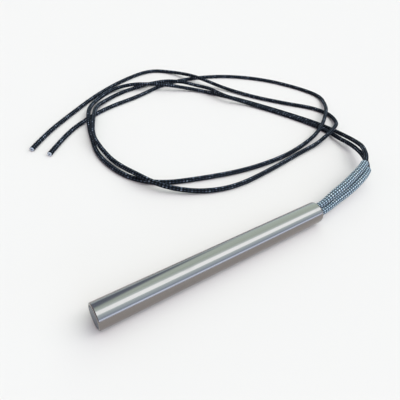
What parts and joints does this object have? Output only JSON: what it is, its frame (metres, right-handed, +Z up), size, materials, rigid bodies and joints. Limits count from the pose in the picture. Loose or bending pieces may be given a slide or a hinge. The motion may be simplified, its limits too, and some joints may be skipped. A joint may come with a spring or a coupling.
{
  "type": "cartridge heater",
  "caption": "Rod-shaped electric cartridge heater: plain steel sheath with a closed flat end and a rolled mouth, and long braided leads that leave it through short sleeves.",
  "frame": {"origin": "on the floor under the middle of the sheath, which lies on its side", "axes": "+X along the sheath from its closed end to its mouth, +Y towards the side where the leads lie, +Z up"},
  "size_m": [0.2786, 0.2496, 0.0154],
  "materials": {
    "stainless_sheath": "ground, satin to bright",
    "resistance_wire": "drawn nickel-chromium wire",
    "magnesia": "packed powder, matt",
    "magnesia_ceramic": "fired, matt",
    "nickel": "drawn nickel",
    "plated_copper": "nickel-plated strand",
    "lead_braid": "black glass-fibre braid",
    "sleeve_braid": "grey-blue glass-fibre braid",
    "inner_insulation": "matt, pale"
  },
  "bodies": {
    "root": {"sheath": "stainless_sheath", "end_disc": "stainless_sheath", "heating_coil": "resistance_wire", "magnesia_fill": "magnesia", "bottom_washer": "magnesia_ceramic", "top_washer": "magnesia_ceramic", "terminal_insulator": "magnesia_ceramic", "head_bushing": "magnesia_ceramic", "core_1": "magnesia_ceramic", "core_2": "magnesia_ceramic", "core_3": "magnesia_ceramic", "core_4": "magnesia_ceramic", "core_5": "magnesia_ceramic", "core_6": "magnesia_ceramic", "core_7": "magnesia_ceramic", "core_8": "magnesia_ceramic", "terminal_pin_a": "nickel", "terminal_pin_b": "nickel", "ferrule_a": "nickel", "ferrule_b": "nickel", "conductor_a": "plated_copper", "conductor_b": "plated_copper", "conductor_end_a": "plated_copper", "conductor_end_b": "plated_copper", "lead_a": "lead_braid", "lead_b": "lead_braid", "sleeve_a": "sleeve_braid", "sleeve_b": "sleeve_braid", "insulation_end_a": "inner_insulation", "insulation_end_b": "inner_insulation"}
  },
  "joints": []
}
